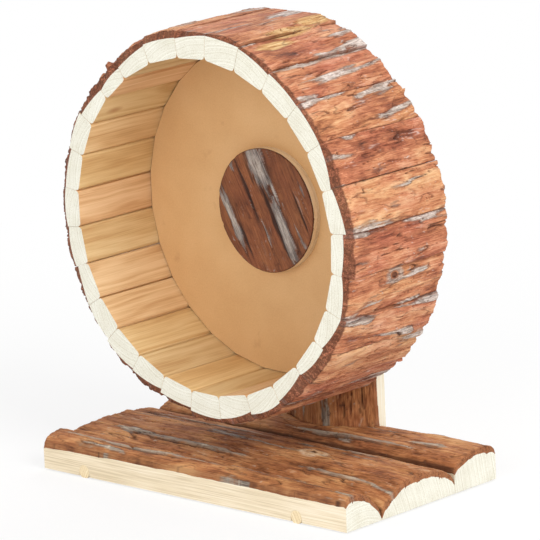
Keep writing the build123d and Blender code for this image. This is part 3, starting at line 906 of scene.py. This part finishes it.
def groove_height(x, floor):
    """The underside of a log at x: flat, and arched over each dowel."""
    height = np.full_like(x, floor)
    for low, high in dowels:
        radius = (high.x - low.x) / 2 + DOWEL_FIT
        centre_x, centre_z = (low.x + high.x) / 2, high.z - (high.x - low.x) / 2
        offset = np.abs(x - centre_x)
        arch = centre_z + np.sqrt(np.clip(radius ** 2 - offset ** 2, 0, None))
        height = np.where(offset < radius, arch, height)
    return height


def log_lines(low, high):
    """Grid lines in x: evenly spaced, with close pairs at the sides of each dowel groove."""
    lines = list(np.linspace(low, high, int(round((high - low) / LOG_CELL)) + 1))
    for dowel_low, dowel_high in dowels:
        for x in (dowel_low.x - DOWEL_FIT, dowel_high.x + DOWEL_FIT):
            lines += [x - GROOVE_LINES, x + GROOVE_LINES]
    return np.array(sorted(lines))


def post_front(x):
    """The front of the post at x, from the CAD box and the round of its log."""
    half = (post_high.x - post_low.x) / 2
    crown, edge = post_low.y, post_high.y - POST_EDGE
    return crown + (edge - crown) * np.clip(x / half, -1, 1) ** 2


def smooth_log_top(name, plan, x, t):
    """The CAD top of a log over a grid, as if the notch for the post were filled."""
    along, across = LOG_SAMPLES
    coarse_x = np.linspace(plan.low_x + LOG_SAMPLE_INSET, plan.high_x - LOG_SAMPLE_INSET, along)
    coarse_t = np.linspace(0, 1, across)
    coarse_y = plan.spread(coarse_x, coarse_t, LOG_SAMPLE_INSET)
    grid_x = np.repeat(coarse_x[:, None], across, 1)
    in_notch = (np.abs(grid_x) < post_high.x + MM) & (coarse_y > post_front(grid_x) - MM)
    columns = np.where(in_notch, np.nan, surface_heights(name, grid_x, coarse_y)).T
    for column in columns:
        known = ~np.isnan(column)
        column[:] = np.interp(coarse_x, coarse_x[known], column[known])
    by_x = np.stack([np.interp(x, coarse_x, column) for column in columns], 1)
    return np.stack([np.interp(t, coarse_t, row) for row in by_x])


def mark_log(xs, y, height, masks):
    """Knot eyes, holes and long cracks with grey lips where the photograph shows them."""
    for place_x, place_y, size in BASE_EYES:
        around = np.hypot((xs - place_x * MM) / EYE_STRETCH, y - place_y * MM) / (size * MM)
        ripple = np.exp(-around ** 2) * (1 + 0.8 * np.cos(around * 7))
        height = height + EYE_RISE * ripple
        ring = step(0.32, 0.12, np.abs(around - 0.85)) + step(0.16, 0.05, np.abs(around - 0.4))
        raise_mask(masks, "pale", 0.95 * ring)
        raise_mask(masks, "gold", 0.55 * np.exp(-(around / 1.5) ** 2))
        masks["dark"] = np.maximum(masks["dark"] * step(0.9, 1.3, around), step(0.32, 0.15, around))
    for place_x, place_y, size in BASE_HOLES:
        hole = step(1.3, 0.7, np.hypot(xs - place_x * MM, y - place_y * MM) / (size * MM))
        height = height - BASE_HOLE_DEPTH * hole
        raise_mask(masks, "dark", hole)
    wander = 1.6 * MM * layered_noise(xs / MM / 34, y / MM / 50, 61)
    frayed = 0.4 * layered_noise(xs / MM / 9, y / MM / 2, 62)
    for place_x, place_y, half_width, half_length in BASE_CRACKS:
        past = (xs - place_x * MM) / (half_length * MM)
        off = (y - place_y * MM - wander) / (half_width * MM)
        crack = step(1.2, 0.5, np.hypot(off, past) + frayed)
        lip = step(1.2, 0.8, np.hypot((off - 2.6) / 1.6, past) + frayed)
        height = height - BASE_CRACK_DEPTH * crack + BASE_LIP_RISE * lip
        raise_mask(masks, "dark", crack)
        raise_mask(masks, "flakes", 0.85 * lip * (1 - crack))
        raise_mask(masks, "pale", 0.25 * lip * (1 - crack))
    return height


def log_bark(smooth_top, xs, y, t, from_side, seed, front_painted_shade):
    """Height and colour masks of a log's bark, which sinks towards its sides and is darkened there with
    painted shade.
    """
    relief, masks = bark_field(y, xs, seed, slant=LOG_SLANT, greyer=LOG_GREYER)
    height = smooth_top + relief * (0.25 + 0.65 * step(0, 7 * MM, from_side)) + LOG_LIFT
    height = mark_log(xs, y, height, masks)
    valley = from_side + 0.8 * MM * layered_noise(xs / MM / 12, y / MM / 3, seed + 52)
    # Painted shade in the valleys along both sides of the log, weaker on the front log's front side
    painted_side_shade = np.where(t < 0.5, front_painted_shade, VALLEY_PAINTED_SHADE)
    raise_mask(masks, "dark", painted_side_shade * step(2.2 * MM, 0.8 * MM, valley))
    return height - VALLEY_DEPTH * step(3.2 * MM, 0, from_side), masks


def make_log(name, seed, front_painted_shade=VALLEY_PAINTED_SHADE):
    """A half log: bark above, sawn faces, sawn ends and grooves over the dowels."""
    plan = LogPlan(name)
    x = log_lines(plan.low_x, plan.high_x)
    front, rear = plan.sides(x)
    columns = int(round((rear - front).max() / LOG_CELL)) + 1
    t = np.linspace(0, 1, columns)
    y = plan.spread(x, t)
    xs = np.repeat(x[:, None], columns, 1)
    from_side = np.minimum(t, 1 - t) * (rear - front)[:, None]
    from_end = np.minimum(xs - plan.low_x, plan.high_x - xs)
    height, masks = log_bark(smooth_log_top(name, plan, x, t), xs, y, t, from_side, seed, front_painted_shade)
    height = height - END_DROP * step(2.2 * MM, 0, from_end)
    if name == "rear_log":
        notch = (np.abs(xs) < post_high.x + NOTCH_BESIDE) & (y > post_front(xs) - NOTCH_BEFORE)
        height = np.where(notch, np.minimum(height, post_low.z - NOTCH_BELOW), height)
    top = np.stack([xs, y, height], -1)
    inward = 0.5 * MM * (1.2 + layered_noise(x / MM / 5, 0 * x, seed + 50))
    top[:, 0, 1] += inward
    top[:, -1, 1] -= inward
    top[0, :, 0] += 0.6 * MM
    top[-1, :, 0] -= 0.6 * MM
    edge_x, edge_y = around(xs), around(y)
    low = np.stack([edge_x, edge_y, groove_height(edge_x, plan.floor)], -1)
    bark = LOG_BARK * (0.8 + 0.2 * layered_noise(edge_x / MM / 25, edge_y / MM / 12, seed + 51))
    line = np.stack([edge_x, edge_y, np.maximum(around(top)[:, 2] - bark, low[:, 2] + 0.5 * MM)], -1)
    masks["rim"] = step(2.0 * MM, 0.4 * MM, from_end) * RIM_SHADE

    def grain(points):
        return np.stack([points[:, 1] + seed * 0.001, points[:, 2], points[:, 0] + seed * 0.01], -1)

    materials = (sawn_wood, end_grain, base_bark, base_bark)
    piece = slab(f"{name}_slab", top, low, line, LOG_WALL_ROWS, masks, materials, grain, ends="rows")
    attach(piece, "stand")
    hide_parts(name)


# The front log's front side gets weaker painted shade in its valley
make_log("front_log", 70, front_painted_shade=0.35)
make_log("middle_log", 170)
make_log("rear_log", 270)


# Post

def make_post():
    """The post: bark in front, sawn rear and sides, and the stepped bore for the bearings."""
    rows = int(round((post_high.x - post_low.x) / POST_CELL)) + 1
    columns = int(round((post_high.z - post_low.z) / POST_CELL)) + 1
    x = np.linspace(post_low.x, post_high.x, rows)
    z = np.linspace(post_low.z, post_high.z, columns)
    xs, zs = np.meshgrid(x, z, indexing="ij")
    relief, masks = bark_field(xs, zs, POST_SEED, slant=0.03, greyer=-0.06)
    depth = post_front(xs) - relief
    from_edge = np.minimum(xs - post_low.x, post_high.x - xs)
    depth = depth + 1.2 * MM * step(3 * MM, 0, from_edge) + 0.8 * MM * step(2.5 * MM, 0, post_high.z - zs)
    depth = np.maximum(depth, post_front(xs) - POST_RELIEF_LIMIT)
    round_bore = np.hypot(xs, zs - AXLE_HEIGHT) < SPOT_REACH
    depth = np.where(round_bore, post_low.y + SPOT_DEPTH, depth)
    drop = round_corner(xs, post_high.x, POST_TOP_RADIUS) * step(post_high.z - 8 * MM, post_high.z, zs)
    top = np.stack([xs, depth, zs - drop], -1)
    low = around(top)
    line = low.copy()
    line[:, 1] = np.minimum(low[:, 1] + POST_BARK, post_high.y - MM)
    low[:, 1] = post_high.y
    masks["rim"] = step(2.0 * MM, 0.3 * MM, from_edge) * RIM_SHADE

    def grain(points):
        return np.stack([points[:, 0], post_high.y - points[:, 1], points[:, 2] + 0.7], -1)

    # The post's sides and back take the lighter post wood, which is painted light
    materials = (post_wood_painted_light, end_grain, base_bark, base_bark)
    piece = slab("post_slab", top, low, line, POST_WALL_ROWS, masks, materials, grain)
    cut_bores(piece)
    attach(piece, "stand")
    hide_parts("post")


def bore_cutter():
    """The hole as a solid: front hole, both bearing seats and the narrower hole between them."""
    front_race, rear_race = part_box("front_bearing_outer_race"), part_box("rear_bearing_outer_race")
    seat = (front_race[1].x - front_race[0].x) / 2 + SEAT_CLEARANCE
    start, stop = post_low.y - CUTTER_MARGIN, post_high.y + CUTTER_MARGIN
    profile = (
        (start, FRONT_HOLE_RADIUS), (front_race[0].y, FRONT_HOLE_RADIUS),
        (front_race[0].y, seat), (front_race[1].y, seat),
        (front_race[1].y, THROUGH_HOLE_RADIUS), (rear_race[0].y, THROUGH_HOLE_RADIUS),
        (rear_race[0].y, seat), (stop, seat),
    )
    count = CUTTER_SEGMENTS
    angles = np.arange(count) * 2 * pi / count
    points = [(radius * cos(a), y, AXLE_HEIGHT + radius * sin(a)) for y, radius in profile for a in angles]
    faces = []
    for first in range(0, (len(profile) - 1) * count, count):
        for k in range(count):
            a, b = first + k, first + (k + 1) % count
            faces.append((a, a + count, b + count, b))
    faces.append(tuple(range(count)))
    faces.append(tuple(range(len(points) - count, len(points)))[::-1])
    mesh = bpy.data.meshes.new("bore_cutter")
    mesh.from_pydata(points, [], faces)
    mesh.materials.append(end_grain)
    return new_object("bore_cutter", mesh)


def cut_bores(piece):
    cutter = bore_cutter()
    cut = piece.modifiers.new("bores", "BOOLEAN")
    cut.operation = "DIFFERENCE"
    cut.solver = "EXACT"
    cut.object = cutter
    bpy.context.view_layer.update()
    made = bpy.data.meshes.new_from_object(piece.evaluated_get(bpy.context.evaluated_depsgraph_get()))
    piece.modifiers.clear()
    piece.data = made
    bpy.data.objects.remove(cutter)


make_post()


# Hub disc

def along_hub_grain(x, z):
    return x * cos(HUB_GRAIN) - z * sin(HUB_GRAIN), x * sin(HUB_GRAIN) + z * cos(HUB_GRAIN)


def hub_face(x, z, radius):
    """Relief and colour masks of the hub disc's bark, with its streaks and cracks."""
    across, along = along_hub_grain(x, z)
    relief, masks = bark_field(across + HUB_OFFSET, along, HUB_SEED, slant=0.0, greyer=HUB_GREYER)
    masks["dark"] = HUB_CRACK_SHADE * masks["dark"]
    masks["tone"] = HUB_TONE_MIDDLE + HUB_TONE_SWING * (masks["tone"] - HUB_TONE_MIDDLE)
    frayed = 0.5 * layered_noise(across / MM / 2, along / MM / 16, HUB_SEED + 1)

    def away(place_x, place_z, half_width, half_length):
        u, v = along_hub_grain(place_x * radius, place_z * radius)
        return np.hypot((across - u) / half_width, (along - v) / half_length) / radius + frayed

    for streak in HUB_STREAKS:
        far = away(*streak)
        raise_mask(masks, "flakes", step(1.1, 0.9, far))
        raise_mask(masks, "pale", 0.8 * step(0.75, 0.3, far))
        raise_mask(masks, "dark", 0.7 * step(1.4, 1.15, far) * step(1.0, 1.1, far))
        relief = relief + 0.6 * MM * step(1.15, 0.9, far)
    for crack in HUB_CRACKS:
        far = away(*crack)
        raise_mask(masks, "dark", step(1.2, 0.7, far))
        relief = relief - 1.2 * MM * step(1.2, 0.6, far)
    return relief, masks


def hub_wall(radius, angles, wood_start, back):
    """Loops of points down the disc's rim, across its back and into the pocket for the bolt's head."""
    places = (
        (radius, wood_start), (radius, (wood_start + back) / 2), (radius, back),
        (HUB_POCKET_RADIUS, back), (HUB_POCKET_RADIUS, back - HUB_POCKET_DEPTH),
    )
    x, z = np.cos(angles), np.sin(angles)
    return [
        np.stack([size * x, np.broadcast_to(y, x.shape), size * z + AXLE_HEIGHT], -1) for size, y in places
    ]


def hub_faces(loops, middle):
    """Faces from loop to loop, round the middle of the bark and over the pocket's end, and their kinds."""
    count, rings = HUB_SEGMENTS, HUB_RINGS + loops - 1
    faces = []
    for first in range(0, rings * count, count):
        for k in range(count):
            p, q = first + k, first + (k + 1) % count
            faces.append((p, q, q + count, p + count))
    faces += [(middle, (k + 1) % count, k) for k in range(count)]
    faces.append(tuple(range(middle - count, middle)))
    kinds = [BARK] * (HUB_RINGS - 1) + [BARK_EDGE, SAWN_END] + [FOOT] * (loops - 2)
    kinds = np.repeat(kinds + [BARK, FOOT], [count] * (rings + 1) + [1])
    return [face[::-1] for face in faces], kinds


def make_hub_disc():
    """A round slice of slab wood: bark in front, a sawn rim of pale wood with painted light over it, and a
    pocket over the bolt's head.
    """
    low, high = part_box("hub_disc")
    radius = (high.x - low.x) / 2
    front, back = low.y, high.y
    rings = np.linspace(0, 1, HUB_RINGS + 1)[1:] ** 0.9 * radius
    angles = np.arange(HUB_SEGMENTS) * 2 * pi / HUB_SEGMENTS
    r, a = np.meshgrid(rings, angles, indexing="ij")
    x, z = r * np.cos(a), r * np.sin(a)
    relief, masks = hub_face(x, z, radius)
    across = along_hub_grain(x, z)[0]
    rim_drop = 0.3 * MM * step(1.5 * MM, 0, radius - r)
    hollow = (across / radius) ** 2 * 0.9 * MM
    depth = front + HUB_FACE_INSET + hollow - HUB_RELIEF_SHARE * relief + rim_drop
    depth = np.maximum(depth, front + 0.05 * MM)
    top = np.stack([x, depth, z + AXLE_HEIGHT], -1)
    loops = hub_wall(radius, angles, depth[-1] + HUB_BARK, back)
    centre = np.array([[0, depth[0].mean(), AXLE_HEIGHT]])
    points = np.concatenate([top.reshape(-1, 3)] + loops + [centre])
    faces, kinds = hub_faces(len(loops), len(points) - 1)
    masks["rim"] = step(0.7 * MM, 0.1 * MM, radius - r)
    values = {}
    for key, data in masks.items():
        values[key] = np.concatenate([data.ravel()] + [data[-1]] * len(loops) + [[data[0].mean()]])
    u, v = along_hub_grain(points[:, 0], points[:, 2] - AXLE_HEIGHT)
    values["grain"] = np.stack([u, back - points[:, 1], v + 1.3], -1)
    # The rim's front half takes the rim wood, which is partly painted light
    materials = (sawn_wood, rim_wood_painted_light, hub_bark, hub_bark)
    piece = new_piece("hub_disc_slice", points, faces, kinds, kinds >= SAWN_END, materials, values)
    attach(piece, "drum")
    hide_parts("hub_disc")


make_hub_disc()


# CAD nodes that stay

def finish_node(name, material):
    mesh = nodes[name].data
    mesh.materials.clear()
    mesh.materials.append(material)


for name in ("dowel_left", "dowel_right"):
    finish_node(name, dowel_wood)
finish_node("hub_block", block_wood)
finish_node("back_panel", panel_board)
for name in (
    "stave_brads", "hub_screws", "post_screws", "axle_bolt", "axle_sleeve", "bearing_spacer",
    "shim_washer", "lock_nut",
):
    finish_node(name, zinc_steel)
for end in ("front", "rear"):
    for part in ("outer_race", "inner_race", "balls"):
        finish_node(f"{end}_bearing_{part}", bearing_steel)
    finish_node(f"{end}_bearing_shields", shield_steel)
    finish_node(f"{end}_bearing_cage", cage_plastic)


# Floor, light and camera

FLOOR_SIZE = 40.0
FLOOR_COLOUR = (0.9, 0.9, 0.9, 1)
FLOOR_ROUGHNESS = 0.8
# The floor starts to glow at the first distance from the object and reaches its glow at the second
FLOOR_FADE = (0.2, 0.9)
FLOOR_GLOW = (0.7, 1.0)
WHITE = (1, 1, 1, 1)
WORLD_LIGHT = 0.62
# Lamps: name, place, size and power
LAMPS = (
    ("key", (1.9, -0.55, 1.5), 1.1, 32.0),
    ("fill", (0.5, -2.3, 1.0), 1.6, 22.0),
    ("back", (-0.6, 1.8, 1.6), 1.4, 14.0),
)
LAMP_TARGET = (0, 0, 0.16)


def make_floor():
    """A pale floor that shows as near white and keeps the object's shadow."""
    mesh = bpy.data.meshes.new("floor")
    half = FLOOR_SIZE / 2
    corners = [(x * half, y * half, 0) for x, y in ((-1, -1), (1, -1), (1, 1), (-1, 1))]
    mesh.from_pydata(corners, [], [(0, 1, 2, 3)])
    floor = new_object("floor", mesh)
    look = Look("floor", Base_Color=FLOOR_COLOUR, Roughness=FLOOR_ROUGHNESS, Specular_IOR_Level=0.0)
    fade = look.window(look.length(look.place()), *FLOOR_FADE, *FLOOR_GLOW, smooth="SMOOTHSTEP")
    share = look.times(look.seen_directly(), fade)
    look.blend(share, look.shader, look.node("ShaderNodeEmission", {"Color": WHITE}), "Material Output")
    mesh.materials.append(look.material)


def make_world():
    """Plain white light all round, seen as full white where it is the background."""
    world = bpy.data.worlds.new("studio")
    nodes_of = Nodes(world)
    light = nodes_of.tree.nodes["Background"]
    light.inputs["Color"].default_value = WHITE
    light.inputs["Strength"].default_value = WORLD_LIGHT
    plain = nodes_of.node("ShaderNodeBackground", {"Color": WHITE})
    nodes_of.blend(nodes_of.seen_directly(), light, plain, "World Output")
    bpy.context.scene.world = world


def make_lamps():
    for name, place, size, power in LAMPS:
        lamp = bpy.data.lights.new(name, "AREA")
        lamp.size = size
        lamp.energy = power
        holder = new_object(name, lamp)
        holder.location = place
        holder.rotation_mode = "QUATERNION"
        holder.rotation_quaternion = (Vector(place) - Vector(LAMP_TARGET)).to_track_quat("Z", "Y")
        holder.visible_camera = False


def make_camera():
    yaw, pitch, roll = radians(CAMERA_YAW), radians(CAMERA_PITCH), radians(CAMERA_ROLL)
    forward = Vector((-sin(yaw) * cos(pitch), cos(yaw) * cos(pitch), -sin(pitch)))
    right = Vector((cos(yaw), sin(yaw), 0))
    up = right.cross(forward)
    rolled_right = right * cos(roll) + up * sin(roll)
    rolled_up = up * cos(roll) - right * sin(roll)
    data = bpy.data.cameras.new("camera")
    data.lens = CAMERA_LENS
    data.sensor_width = CAMERA_SENSOR
    data.clip_end = CAMERA_SIGHT
    camera = new_object("camera", data)
    turn = Matrix((rolled_right, rolled_up, -forward)).transposed().to_4x4()
    camera.matrix_world = Matrix.Translation(CAMERA_PLACE) @ turn
    bpy.context.scene.camera = camera


make_floor()
make_world()
make_lamps()
make_camera()
bpy.context.scene.view_settings.view_transform = "Standard"
